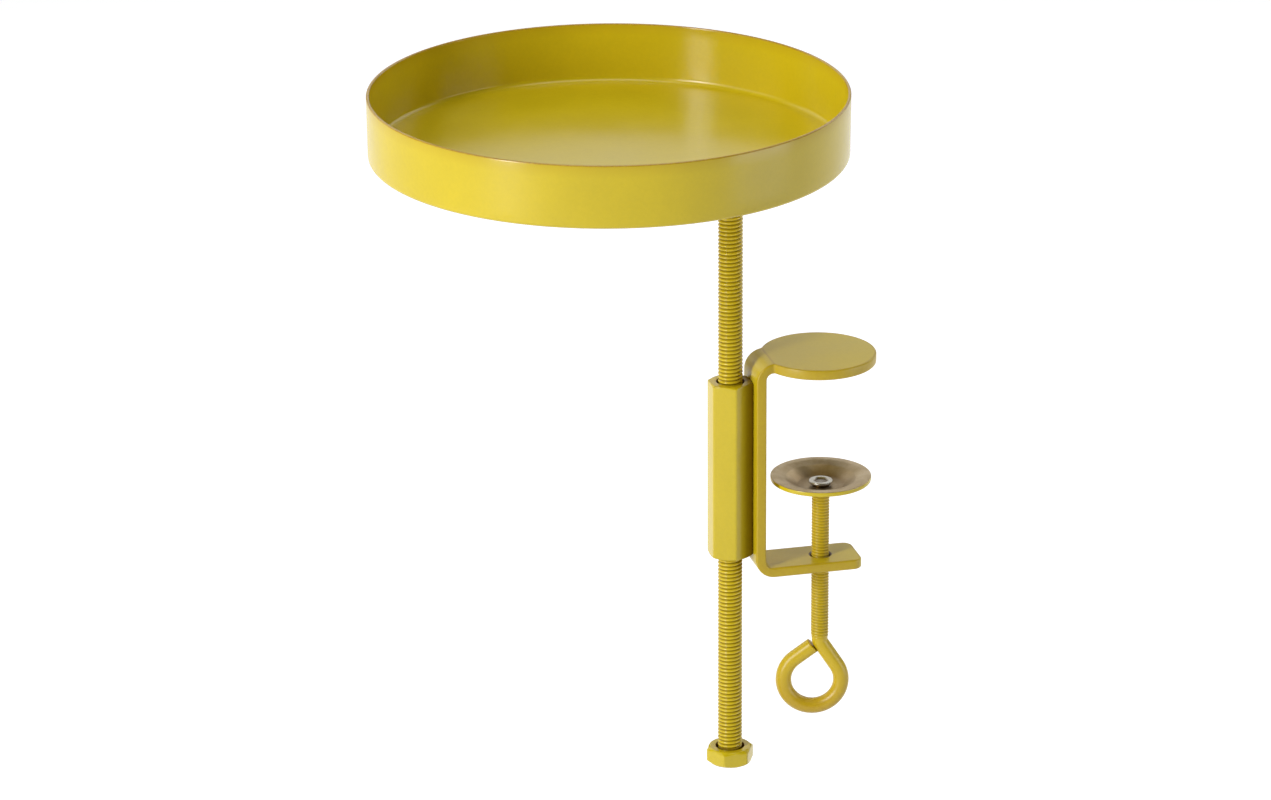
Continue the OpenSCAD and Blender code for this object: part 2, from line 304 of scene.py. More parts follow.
def threaded_rod():
    """Rod with a right-hand thread and chamfered ends. Its rings of points climb one pitch a turn, so
    each ridge and groove runs along them, and they stop at the height of the rod's ends."""
    per_turn, columns = 12, 44
    end_r, end_slope = ROD_ROOT_R - 0.1, 0.7
    low, high = rod_low[2], rod_high[2]
    turns = math.ceil((high - low) / ROD_PITCH) + 2
    rows = turns * per_turn + 1
    ring, share = np.arange(rows)[:, None], np.arange(columns) / columns
    height = np.clip(low - ROD_PITCH + ROD_PITCH * (ring / per_turn + share), low, high)
    radius = thread_radius(height / ROD_PITCH - share, ROD_ROOT_R, ROD_CREST_R)
    to_end = np.minimum(height - low, high - height)
    radius = np.minimum(radius, end_r + to_end * end_slope)
    rings = round_points(radius, full_circle(columns), height) + [rod_x, 0, 0]
    faces = ring_quads(rows, columns, lead=per_turn)
    faces += [list(range(columns)), list(range((rows - 1) * columns, rows * columns))]
    piece = finished_mesh("threaded_rod_turned", rings.reshape(-1, 3), faces, sharp_above=80)

    def groove(x, y, z):
        """Painted shade: full at the thread's root, and from just over the stop nut's top where the rod
        enters it.
        """
        depth = (ROD_CREST_R - np.hypot(x - rod_x, y)) / (ROD_CREST_R - ROD_ROOT_R)
        return np.maximum(np.clip(depth, 0, 1) ** 1.5, ease(stop_nut_high[2] + 0.35 - z, 0, 0.3))

    mark(piece, "groove", groove)
    return piece


def hexagon_bar(name, low, high, flats, turn, corner_r, swell, mouth, crease=0.0):
    """Bored hexagon bar. Round the bar, the radius is that of a hexagon with soft corners, and near
    its ends the lesser of that and a turned end's, which is a cone at a swell of 1 and a quarter round
    at 2. The skin goes up outside, in over the top, down the countersunk bore and out under the bottom.
    Shade is painted into the bore, and with a crease, into the corner beside the bracket."""
    half, height = flats / 2, high - low
    cos_30, sin_30 = math.cos(math.pi / 6), math.sin(math.pi / 6)
    tip = half / cos_30 - corner_r * (1 / cos_30 - 1)
    centre = (half - corner_r) / cos_30
    # The points of one soft corner, then three on the flat after it, are turned into place six times
    arc = np.linspace(-1, 1, 7) * math.pi / 6
    corner = [centre + corner_r * np.cos(arc), corner_r * np.sin(arc)]
    across = np.array([-0.4, 0, 0.4]) * (centre * sin_30)
    flat = [half * cos_30 - across * sin_30, half * sin_30 + across * cos_30]
    x, y = np.concatenate([corner, flat], 1)
    radius = np.tile(np.hypot(x, y), 6)
    angle = np.concatenate([np.arctan2(y, x) + side * math.pi / 3 for side in range(6)]) + turn
    near = END_CUT * (1 - np.cos(np.linspace(0, math.pi / 2, 13)))
    up = np.concatenate([near, height * np.array([0.25, 0.5, 0.75]), height - near[::-1]])[:, None]
    share = np.minimum(np.minimum(up, height - up) / END_CUT, 1)
    start, past_tip = half - 0.3, tip + 0.2
    turned = start + (past_tip - start) * (1 - (1 - share) ** swell) ** (1 / swell)
    outside = soft_least(radius, turned, 0.07)
    # Radius and depth from an end's face over the countersink's soft edge into the bore
    sink = np.array([
        (half - 0.5, 0), (mouth + 0.15, 0), (mouth, 0.05), (BORE_R + 0.05, 0.5), (BORE_R, 0.7),
    ])
    inner = np.concatenate([sink[:, :1], sink[::-1, :1]])
    down = np.concatenate([height - sink[:, 1:], sink[::-1, 1:]])
    rings = np.concatenate([round_points(outside, angle, up), round_points(inner, angle, down)])
    piece = skin(name, rings + [rod_x, 0, low], closed=True, sharp_above=60)

    def groove(x, y, z):
        """Painted shade: full in the bore, and over 6 mm it rises to the crease's share at the bracket."""
        in_bore = np.hypot(x - rod_x, y) < mouth + 0.05
        return np.maximum(1.0 * in_bore, crease * (1 - (bar_low[0] - x) / 6))

    mark(piece, "groove", groove)
    return piece


def nut(name, low, high):
    """Hexagon nut between the lowest and the highest corner of its solid, with conical ends."""
    return hexagon_bar(
        name, low[2], high[2], NUT_FLATS, NUT_TURN, NUT_CORNER_R, swell=1, mouth=NUT_MOUTH_R,
    )


def guide_sleeve():
    """Long hexagon sleeve with quarter-round ends. One of its flats lies on the bracket."""
    # The crease's share paints shade into the corner beside the bracket
    return hexagon_bar(
        "guide_sleeve", sleeve_low[2], sleeve_high[2], SLEEVE_FLATS, math.pi / 6, SLEEVE_CORNER_R,
        swell=2, mouth=SLEEVE_MOUTH_R, crease=0.85,
    )


def bent(along, side, out):
    """Where a point of the flat blank lies once the bar is bent. Along is its way along the blank, from
    the screw's axis over both bends towards the arm's end, and out is measured from the middle of the
    bar's thickness. In a bend, out runs along the rays from the middle of the outside arc, from the
    bar's inside (a straight, an arc and a straight) to that arc. The lower half mirrors the upper."""
    upper = along < TO_HOLE / 2
    way = np.where(upper, along, TO_HOLE - along)
    angle = np.clip((way - TO_BEND) / OVER_BEND, 0, 1) * math.pi / 2
    sine, cosine = np.sin(angle), np.cos(angle)
    straight = OUTSIDE_R - BAR_T
    shift = straight - INSIDE_R
    across = shift * (cosine - sine)
    inside = shift * (sine + cosine) + np.sqrt(np.maximum(INSIDE_R ** 2 - across ** 2, 0))
    flat = np.maximum(sine, cosine)
    inside = np.where(np.minimum(sine, cosine) * straight < shift * flat, straight / flat, inside)
    reach = inside + (out + BAR_T / 2) / BAR_T * (OUTSIDE_R - inside)
    x = -TO_BEND - reach * sine + np.maximum(TO_BEND - way, 0)
    z = BAR_T - OUTSIDE_R + reach * cosine - np.maximum(way - TO_BEND - OVER_BEND, 0)
    return np.stack([x, side, np.where(upper, z, -THROAT_H - z)], -1)


def blank_edge():
    """Right half of the flat blank's edge, as points along and across the bar, with the outward
    direction at each: an arc round the jaw, a hollow arc at the neck, the straight side, and an arc
    round the arm's corner. The third value is the number of the point just before the arm's hole."""
    half_w = BAR_W / 2
    neck_y = half_w + NECK_R
    neck_s = math.sqrt((JAW_R + NECK_R) ** 2 - neck_y ** 2)
    touch = math.atan2(neck_y, -neck_s)
    # The points stand closer round the jaw's tip, where the two halves of the bar meet
    angle = np.concatenate([np.linspace(0, 0.3, 12)[:-1], np.linspace(0.3, touch, 40)])
    jaw_out = np.stack([-np.cos(angle), np.sin(angle)], -1)
    jaw = np.array([JAW_OFFSET, 0]) + JAW_R * jaw_out
    neck_out = -unit(np.linspace(math.atan2(-neck_y, -neck_s), -math.pi / 2, 8))
    neck = np.array([JAW_OFFSET + neck_s, neck_y]) - NECK_R * neck_out
    upper_end, lower_start = TO_BEND + OVER_BEND, TO_HOLE - TO_BEND - OVER_BEND
    along = np.concatenate([
        np.linspace(JAW_OFFSET + neck_s + 0.4, upper_end, 19),
        np.linspace(upper_end, lower_start, 12)[1:-1],
        np.linspace(lower_start, lower_start + OVER_BEND, 25),
        TO_HOLE + np.array([-9, -HOLE_FACE_HALF, HOLE_FACE_HALF]),
    ])
    side = np.stack([along, np.full(len(along), half_w)], -1)
    side_out = np.tile([0.0, 1.0], (len(along), 1))
    angle = np.linspace(0, math.pi / 2, 10)
    corner_out = np.stack([np.sin(angle), np.cos(angle)], -1)
    corner = np.array([TO_HOLE + ARM_REACH - ARM_CORNER, half_w - ARM_CORNER]) + ARM_CORNER * corner_out
    edge = np.concatenate([jaw, neck, side, corner])
    outward = np.concatenate([jaw_out, neck_out, side_out, corner_out])
    return edge, outward, len(jaw) + len(neck) + len(side) - 2


def fan(ring, corners):
    """Triangles that fill a four-cornered face round a hole: each corner meets its quarter of the
    ring of points, and one triangle more closes the gap where the next corner takes over."""
    after = np.roll(ring, -1)
    own = np.repeat(corners, len(ring) // 4)
    following = np.roll(own, -1)
    spokes = np.stack([own, ring, after], -1)
    gaps = np.stack([own, after, following], -1)[own != following]
    return spokes.tolist() + gaps.tolist()


def clamp_bar():
    """Flat bar with a round jaw, bent twice. The right half of the blank's edge carries a rounded
    profile from the outer face to the inner one. The left half mirrors it, and together they are the
    rings of the skin. Two faces of the arm open into the screw's countersunk hole."""
    half_w, half_t = BAR_W / 2, BAR_T / 2
    edge, outward, hole_row = blank_edge()
    quarter = np.linspace(0, math.pi / 2, 6)
    start, end = BAR_EDGE_R * (1 - np.sin(quarter)), BAR_EDGE_R * (1 - np.cos(quarter))
    flat = BAR_EDGE_R + 0.35
    inset = np.concatenate([[flat], start, end, [flat]])
    out = np.concatenate([[half_t], half_t - end, -half_t + start, [-half_t]])
    places = edge[:, None, :] - inset[None, :, None] * outward[:, None, :]
    half_ring = np.concatenate([places, np.broadcast_to(out[None, :, None], places.shape[:2] + (1,))], -1)
    rings = np.concatenate([half_ring, (half_ring * [1, -1, 1])[:, ::-1]], 1)
    rows, columns = rings.shape[:2]
    steps = columns // 2

    # The quads over the hole, on the outer and the inner face, are left out for the fans round it
    near, far = hole_row * columns, (hole_row + 1) * columns
    quads = np.array(ring_quads(rows, columns))
    faces = np.delete(quads, [near + columns - 1, near + steps - 1], 0).tolist()

    # The arm's end is closed by quads between the two halves of the last ring
    last = (rows - 1) * columns
    right = last + np.arange(steps)
    left = last + columns - 1 - np.arange(steps)
    faces += np.stack([right[:-1], right[1:], left[1:], left[:-1]], -1).tolist()

    # The hole's rings: round the mouth, over the countersink, through the bar and out the same way
    count = 40
    mouth = np.array([ARM_MOUTH_R + 0.3, ARM_MOUTH_R + 0.02, ARM_HOLE_R + 0.05, ARM_HOLE_R])
    depth = half_t - np.array([0, 0, 0.4, 0.6])
    radius = np.concatenate([mouth, mouth[::-1]])[:, None]
    height = np.concatenate([depth, -depth[::-1]])[:, None]
    hole = round_points(radius, (np.arange(count) + 0.5) / count * TURN, height) + [TO_HOLE, 0, 0]
    first = rows * columns
    faces += (np.array(ring_quads(len(radius), count)) + first).tolist()
    outer_ring = first + np.arange(count)
    inner_ring = outer_ring + (len(radius) - 1) * count
    faces += fan(outer_ring, [far, near, near + columns - 1, far + columns - 1])
    faces += fan(inner_ring, [far + steps - 1, near + steps - 1, near + steps, far + steps])
    points = np.concatenate([rings.reshape(-1, 3), hole.reshape(-1, 3)])
    piece = finished_mesh("clamp_bar", bent(*points.T), faces)

    def groove(x, y, z):
        """Painted shade: full in the arm's hole."""
        return 1.0 * (np.hypot(x, y) < ARM_MOUTH_R + 0.05) * (z < -THROAT_H / 2)

    def cut_side(x, y, z):
        """Half browner on the sides that were cut: round the jaw, along the bar and at the arm's end."""
        band = 0.6
        from_jaw = np.hypot(x + JAW_OFFSET, y)
        on_jaw = (z > -0.1) & (from_jaw < JAW_R + 0.1)
        on_bar = (abs(y) > half_w - band) | (x > ARM_REACH - band)
        return 0.5 * np.where(on_jaw, from_jaw > JAW_R - band, on_bar)

    mark(piece, "groove", groove)
    mark(piece, "edge", cut_side)
    return piece


def eye_path():
    """Middle of the wire in the eye's own plane, as position beside and along the screw, with its
    direction: straight down the screw, round the small bend, down the leaning leg, clockwise round
    the eye, and straight up to the cut end. Also the lengths of the first and the last stretch, and
    how far the last one is turned from square to the leg."""
    lean_sin, lean_cos = math.sin(EYE_LEAN), math.cos(EYE_LEAN)
    tangent = EYE_BEND_R * math.tan(EYE_LEAN / 2)
    kink = (EYE_R - EYE_OFFSET * lean_cos) / lean_sin
    centre = np.array([-EYE_OFFSET, THREAD_END - tangent - kink])
    height = np.linspace(THREAD_TOP, THREAD_END, 601)
    shank = np.stack([0 * height, height], -1)
    bend_out = unit(math.pi + np.linspace(0, EYE_LEAN, 10)[1:])
    bend = np.array([EYE_BEND_R, THREAD_END]) + EYE_BEND_R * bend_out
    loop_out = unit(np.linspace(EYE_LEAN, EYE_LEAVE - TURN, 64))
    loop = centre + EYE_R * loop_out
    leg = np.linspace(bend[-1], loop[0], 8)[1:-1]
    skew = EYE_LEAVE - math.pi / 2 - EYE_LEAN
    # The last straight stops at the leaning leg's side, a slit away
    room = EYE_R - WIRE_R - EYE_SLIT
    length = (room - EYE_R * math.cos(EYE_LEAVE - EYE_LEAN)) / math.cos(skew)
    tail_go = np.array([math.sin(EYE_LEAVE), -math.cos(EYE_LEAVE)])
    run = np.concatenate([np.linspace(0, length - 0.35, 8)[1:], length - CUT_BACK])
    tail = loop[-1] + run[:, None] * tail_go
    path = np.concatenate([shank, bend, leg, loop, tail])
    go = np.concatenate([
        np.tile([0.0, -1.0], (len(shank), 1)), bend_out[:, ::-1] * [-1, 1],
        np.tile([lean_sin, -lean_cos], (len(leg), 1)), loop_out[:, ::-1] * [1, -1],
        np.tile(tail_go, (len(tail), 1)),
    ])
    return path, go, len(shank), len(tail), skew


def eye_screw():
    """Screw and eye of one wire. Round each point of the path stands a ring of points; on the screw
    its radius follows the thread, a soft sine that climbs one pitch a turn, and at the cut end the
    rings lean over until they are flush with the leg beside them."""
    path, go, shank, tail, skew = eye_path()
    rows, columns = len(path), 36
    angle = full_circle(columns)
    z = path[:shank, 1:]
    # Going down, the ring's first direction points along +x and its second along the plane's normal
    phase = z / SCREW_PITCH - angle / TURN
    middle, swing = (SCREW_CREST_R + SCREW_ROOT_R) / 2, (SCREW_CREST_R - SCREW_ROOT_R) / 2
    swell = ease(z, THREAD_END - 0.5, THREAD_END + 2.5)
    run_out = ease(z, THREAD_END - 0.2, THREAD_END + 2.2) * ease(THREAD_TOP - z, 0.1, 1.2)
    radius = np.full((rows, columns), WIRE_R)
    radius[:shank] = WIRE_R + (middle - WIRE_R) * swell + swing * run_out * np.cos(TURN * phase)
    radius[-len(CUT_R):] = CUT_R[:, None]
    offset = radius * np.cos(angle)
    across = np.stack([-go[:, 1], go[:, 0]], -1)
    plane = path[:, None, :] + offset[:, :, None] * across[:, None, :]
    lean = np.zeros(rows)
    lean[-tail:] = np.linspace(0, 1, tail) ** 0.5
    plane = plane - (lean[:, None] * offset * math.tan(skew))[:, :, None] * go[:, None, :]
    rings = np.stack([plane[..., 0], -radius * np.sin(angle), plane[..., 1]], -1)
    cosine, sine = math.cos(EYE_TURN), math.sin(EYE_TURN)
    rings = rings @ np.array([[cosine, sine, 0], [-sine, cosine, 0], [0, 0, 1]])
    # The screw's top is closed by a middle point and a smaller ring, and its outer ring is lowered
    middle_point = rings[:1].mean(1)
    top = np.stack([np.repeat(middle_point, columns, 0), middle_point + (rings[0] - middle_point) * 0.93])
    rings[0, :, 2] -= 0.12
    piece = skin("eye_screw", np.concatenate([top, rings]))

    def groove(x, y, z):
        """Painted shade: full at the thread's root, and none on the eye."""
        depth = 1 - (np.hypot(x, y) - SCREW_ROOT_R) / (SCREW_CREST_R - SCREW_ROOT_R)
        return depth * ease(z, THREAD_END, THREAD_END + 3)

    mark(piece, "groove", groove)
    # Painted shade: the coat grows browner from the screw's end down to the bottom of the eye
    mark(piece, "edge", lambda x, y, z: 0.7 * ease(-z, 98, 124))
    return piece


def riveted_pin():
    """Pin from the screw up through the cup, with a flattened head that has a dimple in its middle. The
    head lies a little lower than the solid's, as photographed."""
    top, foot = screw_high[2] - 0.3, THREAD_TOP - 0.4
    outline = rounded([
        [0, foot], [PIN_R, foot], [PIN_R, top - HEAD_T], [HEAD_R, top - HEAD_T], [HEAD_R, top],
        [2.5, top], [1.9, top - HEAD_DIMPLE], [0, top - HEAD_DIMPLE],
    ], [0.1, 0.1, 0.2, 0.3, 0.25, 0.3], 5)
    piece = lathed("riveted_pin", outline, 0, 48, sharp_above=70)

    def groove(x, y, z):
        """Painted shade: full under the head, and in the dimple most of all round its foot."""
        away = np.hypot(x, y)
        in_dimple = (1 - ease(away, 1.9, 2.3)) * (0.6 + 0.35 * (away > 1.5))
        return np.maximum(ease(top - z, HEAD_T - 0.25, HEAD_T), in_dimple)

    mark(piece, "groove", groove)
    return piece


def swivel_cup():
    """Pressed cup: a broad rim that slopes in gently, a round steep wall and a flat floor with a hole.
    The inside outline runs in from the rim, the underside comes back a sheet thickness lower, and the
    rim's edge is turned down a little."""
    rim, hole = (cup_high[0] - cup_low[0]) / 2, PIN_R + 0.15
    inside = rounded([
        [rim, 0], [rim - 2.2, 0], [11.1, -0.85], [7.3, -3.2], [5.2, -CUP_DEPTH], [hole, -CUP_DEPTH],
    ], [3, 2.6, 2.5, 2.5], 7)
    slope = np.gradient(inside, axis=0)
    slope /= np.linalg.norm(slope, axis=1)[:, None]
    under = inside + CUP_T * np.stack([-slope[:, 1], slope[:, 0]], -1)
    under[-1] = inside[-1] + [0, -CUP_T]
    lip = rounded([
        [rim - 1.4, -CUP_T], [rim - 0.6, -CUP_LIP], [rim, -CUP_LIP], [rim, 0], [rim - 0.8, 0],
    ], [0.4, 0.4, 0.3], 5)
    outline = np.concatenate([inside[1:], under[:1:-1], lip])
    piece = lathed("pressed_cup", outline + [0, cup_high[2]], 0, 120, closed=True)

    def groove(x, y, z):
        """A little on the floor, more on the steep wall, and none on the rim."""
        away = np.hypot(x, y)
        return 0.2 + 0.22 * ease(away, 4.5, 6) - 0.42 * ease(away, 9.6, 11.4)

    mark(piece, "groove", groove)
    return piece


def weld_beads(name, starts, ends, radius):
    """Weld beads, each a run of ripples from one point to another: rings whose radius swells and
    shrinks along the run and closes at both ends like half a ball."""
    points, faces = [], []
    rows, columns = 61, 20
    share, angle = np.linspace(0, 1, rows), full_circle(columns)
    for number, (start, end) in enumerate(zip(np.asarray(starts, float), np.asarray(ends, float))):
        length = np.linalg.norm(end - start)
        go = (end - start) / length
        # Any two directions square to the run and to each other will do
        one = np.cross(go, [0.3, 0.5, 0.81])
        one /= np.linalg.norm(one)
        two = np.cross(go, one)
        along = share * length
        near = np.minimum(along, length - along)
        round_off = np.sqrt(np.clip(1 - (1 - np.clip(near / radius, 0, 1)) ** 2, 0, 1))
        ripple = 1 + 0.07 * np.cos(TURN * along[:, None] / RIPPLE_L + 0.9 * np.cos(angle) + number)
        ring = radius * round_off[:, None] * ripple
        spokes = np.cos(angle)[:, None] * one + np.sin(angle)[:, None] * two
        rings = start + along[:, None, None] * go + ring[:, :, None] * spokes
        faces += (np.array(ring_quads(rows, columns)) + len(points) * rows * columns).tolist()
        points.append(rings.reshape(-1, 3))
    return finished_mesh(name, np.concatenate(points), faces)


def sleeve_beads():
    """Two upright beads in the corner between the sleeve's far side and the bracket, near its ends."""
    x = bar_low[0] - 0.55
    y = SLEEVE_FLATS / 2 * math.tan(math.pi / 6) + 0.95
    bottoms = sleeve_low[2] + SLEEVE_BEAD_INSET, sleeve_high[2] - (SLEEVE_BEAD_L + SLEEVE_BEAD_INSET)
    starts = np.array([[x, y, bottom] for bottom in bottoms])
    return weld_beads("sleeve_weld_beads", starts, starts + [0, 0, SLEEVE_BEAD_L], SLEEVE_BEAD_R)


def nut_beads():
    """Three beads along every second side of the nut under the tray."""
    sides = NUT_TURN + np.radians([30, 150, 270])
    out = np.stack([np.cos(sides), np.sin(sides), 0 * sides], -1)
    over = np.stack([-np.sin(sides), np.cos(sides), 0 * sides], -1)
    middle = np.array([rod_x, 0, tray_low[2] - 0.55]) + (NUT_FLATS / 2 + 0.5) * out
    half_run = NUT_BEAD_L / 2 * over
    return weld_beads("tray_weld_beads", middle - half_run, middle + half_run, NUT_BEAD_R)


# Finishes

def linear(red, green, blue):
    """Colour from its three screen values of 0 to 255."""
    share = np.array([red, green, blue]) / 255
    value = np.where(share <= 0.04045, share / 12.92, ((share + 0.055) / 1.055) ** 2.4)
    return (*value.tolist(), 1.0)


def add(tree, kind, settings, inputs):
    """Node of a kind, with settings on the node, and values or links on its inputs by name or number."""
    node = tree.nodes.new(kind)
    for name, value in settings.items():
        setattr(node, name, value)
    for key, value in inputs.items():
        if isinstance(value, bpy.types.NodeSocket):
            tree.links.new(value, node.inputs[key])
        else:
            node.inputs[key].default_value = value
    return node


def noise(tree, scale, detail, roughness):
    """Noise with so many patches a metre, on the piece's own coordinates."""
    places = add(tree, "ShaderNodeTexCoord", {}, {}).outputs["Object"]
    return add(tree, "ShaderNodeTexNoise", {}, {
        "Vector": places, "Scale": scale, "Detail": detail, "Roughness": roughness,
    }).outputs["Fac"]


def spread(tree, value, low, high, spare=0.3):
    """Number from low to high that follows a noise, most of which lies from spare to 1 - spare."""
    return add(tree, "ShaderNodeMapRange", {}, {
        "Value": value, "From Min": spare, "From Max": 1 - spare, "To Min": low, "To Max": high,
    }).outputs[0]


def combined(tree, operation, first, second):
    """One number made from two, by an operation such as MULTIPLY."""
    return add(tree, "ShaderNodeMath", {"operation": operation}, {0: first, 1: second}).outputs[0]


def mixed(tree, share, first, second):
    """Colour that goes from the first to the second as the share goes from 0 to 1."""
    return add(tree, "ShaderNodeMix", {"data_type": "RGBA"}, {0: share, 6: first, 7: second}).outputs[2]


def marked(tree, name):
    """Number that a mark wrote at the piece's points."""
    return add(tree, "ShaderNodeAttribute", {"attribute_name": name}, {}).outputs["Fac"]


def new_finish(name):
    """Material, with its node tree and its shader."""
    finish = bpy.data.materials.new(name)
    finish.use_nodes = True
    return finish, finish.node_tree, finish.node_tree.nodes["Principled BSDF"]


def new_group(name, inputs, outputs):
    """Empty node group for a shader effect, with its named inputs and outputs."""
    group = bpy.data.node_groups.new(name, "ShaderNodeTree")
    for label, kind, value in inputs:
        socket = group.interface.new_socket(label, in_out="INPUT", socket_type=kind)
        socket.default_value = value
    for label, kind in outputs:
        group.interface.new_socket(label, in_out="OUTPUT", socket_type=kind)
    return group, group.nodes.new("NodeGroupInput"), group.nodes.new("NodeGroupOutput")


def powder_coat_group():
    """Colour, roughness and height of a powder coat. The colour drifts a little in broad soft patches
    and finer specks, turns browner where the edge mark says, thinner on the tray's rubbed rim and as
    painted shade on the eye, and turns to a painted shade colour in grooves. The height is the
    fine orange peel that the melted powder leaves."""
    group, given, result = new_group("powder coat", [
        ("Coat", "NodeSocketColor", (0.67, 0.51, 0.03, 1)),
        ("Worn and shaded", "NodeSocketColor", (0.7, 0.6, 0.3, 1)),
        ("Painted shade", "NodeSocketColor", (0.3, 0.2, 0.0, 1)),
        ("Edge", "NodeSocketFloat", 0.0),
        ("Groove", "NodeSocketFloat", 0.0),
        ("Gloss", "NodeSocketFloat", 0.4),
    ], [("Colour", "NodeSocketColor"), ("Roughness", "NodeSocketFloat"), ("Height", "NodeSocketFloat")])
    drift = noise(group, 38.0, 3.0, 0.5)
    specks = noise(group, 900.0, 2.0, 0.6)
    peel = noise(group, 520.0, 2.0, 0.45)
    shade = combined(
        group, "MULTIPLY", spread(group, drift, 0.955, 1.035), spread(group, specks, 0.975, 1.02),
    )
    drifted = add(group, "ShaderNodeVectorMath", {"operation": "SCALE"}, {
        0: given.outputs["Coat"], "Scale": shade,
    }).outputs[0]
    # Browner where the edge mark says: rubbed thin on the tray's rim, painted shade on the eye
    wear_and_shade = combined(group, "MULTIPLY", given.outputs["Edge"], spread(group, specks, 0.7, 1.0, 0.35))
    worn_and_shaded = mixed(group, wear_and_shade, drifted, given.outputs["Worn and shaded"])
    # Grooves turn to the painted shade colour
    colour = mixed(group, given.outputs["Groove"], worn_and_shaded, given.outputs["Painted shade"])
    roughness = combined(group, "ADD", given.outputs["Gloss"], spread(group, drift, -0.03, 0.03))
    group.links.new(colour, result.inputs["Colour"])
    group.links.new(roughness, result.inputs["Roughness"])
    group.links.new(peel, result.inputs["Height"])
    return group


def painted(name, group, coat, peel=0.03, gloss=0.21, groove_depth=1.0, dull_grooves=False):
    """Satin mustard powder coat. Peel is the height of the orange peel in millimetres. Grooves are
    darker and may be dull, as in threads and bores: both are painted shade."""
    finish, tree, shader = new_finish(name)
    # Painted shade: the groove mark turns the coat towards a dark brown
    groove = combined(tree, "MULTIPLY", marked(tree, "groove"), groove_depth)
    coated = add(tree, "ShaderNodeGroup", {"node_tree": group}, {
        "Coat": coat, "Worn and shaded": linear(168, 128, 26), "Painted shade": linear(92, 66, 2),
        "Edge": marked(tree, "edge"), "Groove": groove, "Gloss": gloss,
    })
    bump = add(tree, "ShaderNodeBump", {}, {
        "Height": coated.outputs["Height"], "Distance": peel * MM, "Strength": 1.0,
    })
    if dull_grooves:
        # The shine is a layer of its own, thinned in the grooves as painted shade
        shine = add(tree, "ShaderNodeMapRange", {}, {"Value": groove, "To Min": 1.0, "To Max": 0.1})
        tree.links.new(shine.outputs[0], shader.inputs["Coat Weight"])
        shader.inputs["Coat Roughness"].default_value = gloss
        shader.inputs["Specular IOR Level"].default_value = 0.0
    tree.links.new(coated.outputs["Colour"], shader.inputs["Base Color"])
    tree.links.new(coated.outputs["Roughness"], shader.inputs["Roughness"])
    tree.links.new(bump.outputs["Normal"], shader.inputs["Normal"])
    shader.inputs["IOR"].default_value = 1.5
    return finish


def bare_steel(name, pale, dark, deep, roughness, scale):
    """Bare steel: patches of a pale and a dark shade, a deeper colour where it is marked as grooved,
    which on the rivet is painted shade, and a dull shine over a very fine grain."""
    finish, tree, shader = new_finish(name)
    patches = spread(tree, noise(tree, scale, 5.0, 0.6), 0.0, 1.0, 0.32)
    colour = mixed(tree, marked(tree, "groove"), mixed(tree, patches, pale, dark), deep)
    grain = noise(tree, 2200.0, 2.0, 0.6)
    bump = add(tree, "ShaderNodeBump", {}, {"Height": grain, "Distance": 0.01 * MM, "Strength": 0.8})
    tree.links.new(colour, shader.inputs["Base Color"])
    tree.links.new(spread(tree, grain, roughness - 0.06, roughness + 0.08), shader.inputs["Roughness"])
    tree.links.new(bump.outputs["Normal"], shader.inputs["Normal"])
    shader.inputs["Metallic"].default_value = 0.8
    return finish


def coat_underneath(cup, coat):
    """Coats all of the cup's faces but those that look up, which stay bare."""
    cup.data.materials.append(coat)
    upward = np.array([face.normal.z for face in cup.data.polygons])
    cup.data.polygons.foreach_set("material_index", (upward <= 0.5).astype(np.int32))


# The photographed view and its light

def facing(azimuth, elevation):
    """Directions to the right, up and back of something that looks at the object from an azimuth,
    which counts from the front towards the right, and an elevation, both in degrees."""
    azimuth, elevation = math.radians(azimuth), math.radians(elevation)
    flat = math.cos(elevation)
    back = np.array([math.sin(azimuth) * flat, -math.cos(azimuth) * flat, math.sin(elevation)])
    right = np.array([math.cos(azimuth), math.sin(azimuth), 0])
    return right, np.cross(back, right), back


def stand(name, data, axes, position):
    """Object for a camera or a lamp, with its three axes and its position in metres."""
    stance = np.eye(4)
    stance[:3] = np.stack([*axes, position], -1)
    fixture = bpy.data.objects.new(name, data)
    fixture.matrix_world = Matrix(stance.tolist())
    bpy.context.scene.collection.objects.link(fixture)
    return fixture


def photograph_camera():
    """Camera fitted to the photograph: it looks down from a little left of the front, from far away."""
    level, rise, back = facing(CAMERA_AZIMUTH, CAMERA_PITCH)
    roll = math.radians(CAMERA_ROLL)
    right = math.cos(roll) * level + math.sin(roll) * rise
    up = -math.sin(roll) * level + math.cos(roll) * rise
    aim = AIM_RIGHT * right + AIM_UP * up + np.array([0, 0, AIM_HEIGHT])
    lens = bpy.data.cameras.new("camera")
    lens.sensor_width = SENSOR_WIDTH
    lens.lens = FOCAL_PIXELS / PHOTO_WIDTH * SENSOR_WIDTH
    lens.clip_start, lens.clip_end = 0.1, 100
    bpy.context.scene.camera = stand("camera", lens, (right, up, back), (aim + CAMERA_AWAY * back) * MM)


def lamp(name, azimuth, elevation, width, height, power):
    """Oblong soft lamp that faces the object from an azimuth and an elevation, in degrees."""
    light = bpy.data.lights.new(name, "AREA")
    light.shape, light.size, light.size_y = "RECTANGLE", width, height
    light.energy = power
    axes = facing(azimuth, elevation)
    stand(name, light, axes, LAMP_AIM + LAMP_AWAY * axes[2])


def lamps():
    """Seven soft lamps round the object."""
    lamp("key, front left", -61, 17, 0.26, 1.1, 16.1)
    lamp("low fill, front right", 60, 5, 0.8, 0.8, 5.9)
    lamp("left", -90, 25, 0.8, 0.9, 2.6)
    lamp("back left", -150, 25, 0.8, 0.9, 3.0)
    lamp("back", 165, 25, 0.8, 0.9, 2.2)
    lamp("back right", 120, 25, 0.8, 0.9, 3.9)
    lamp("overhead", 0, 88, 0.9, 0.9, 6.3)


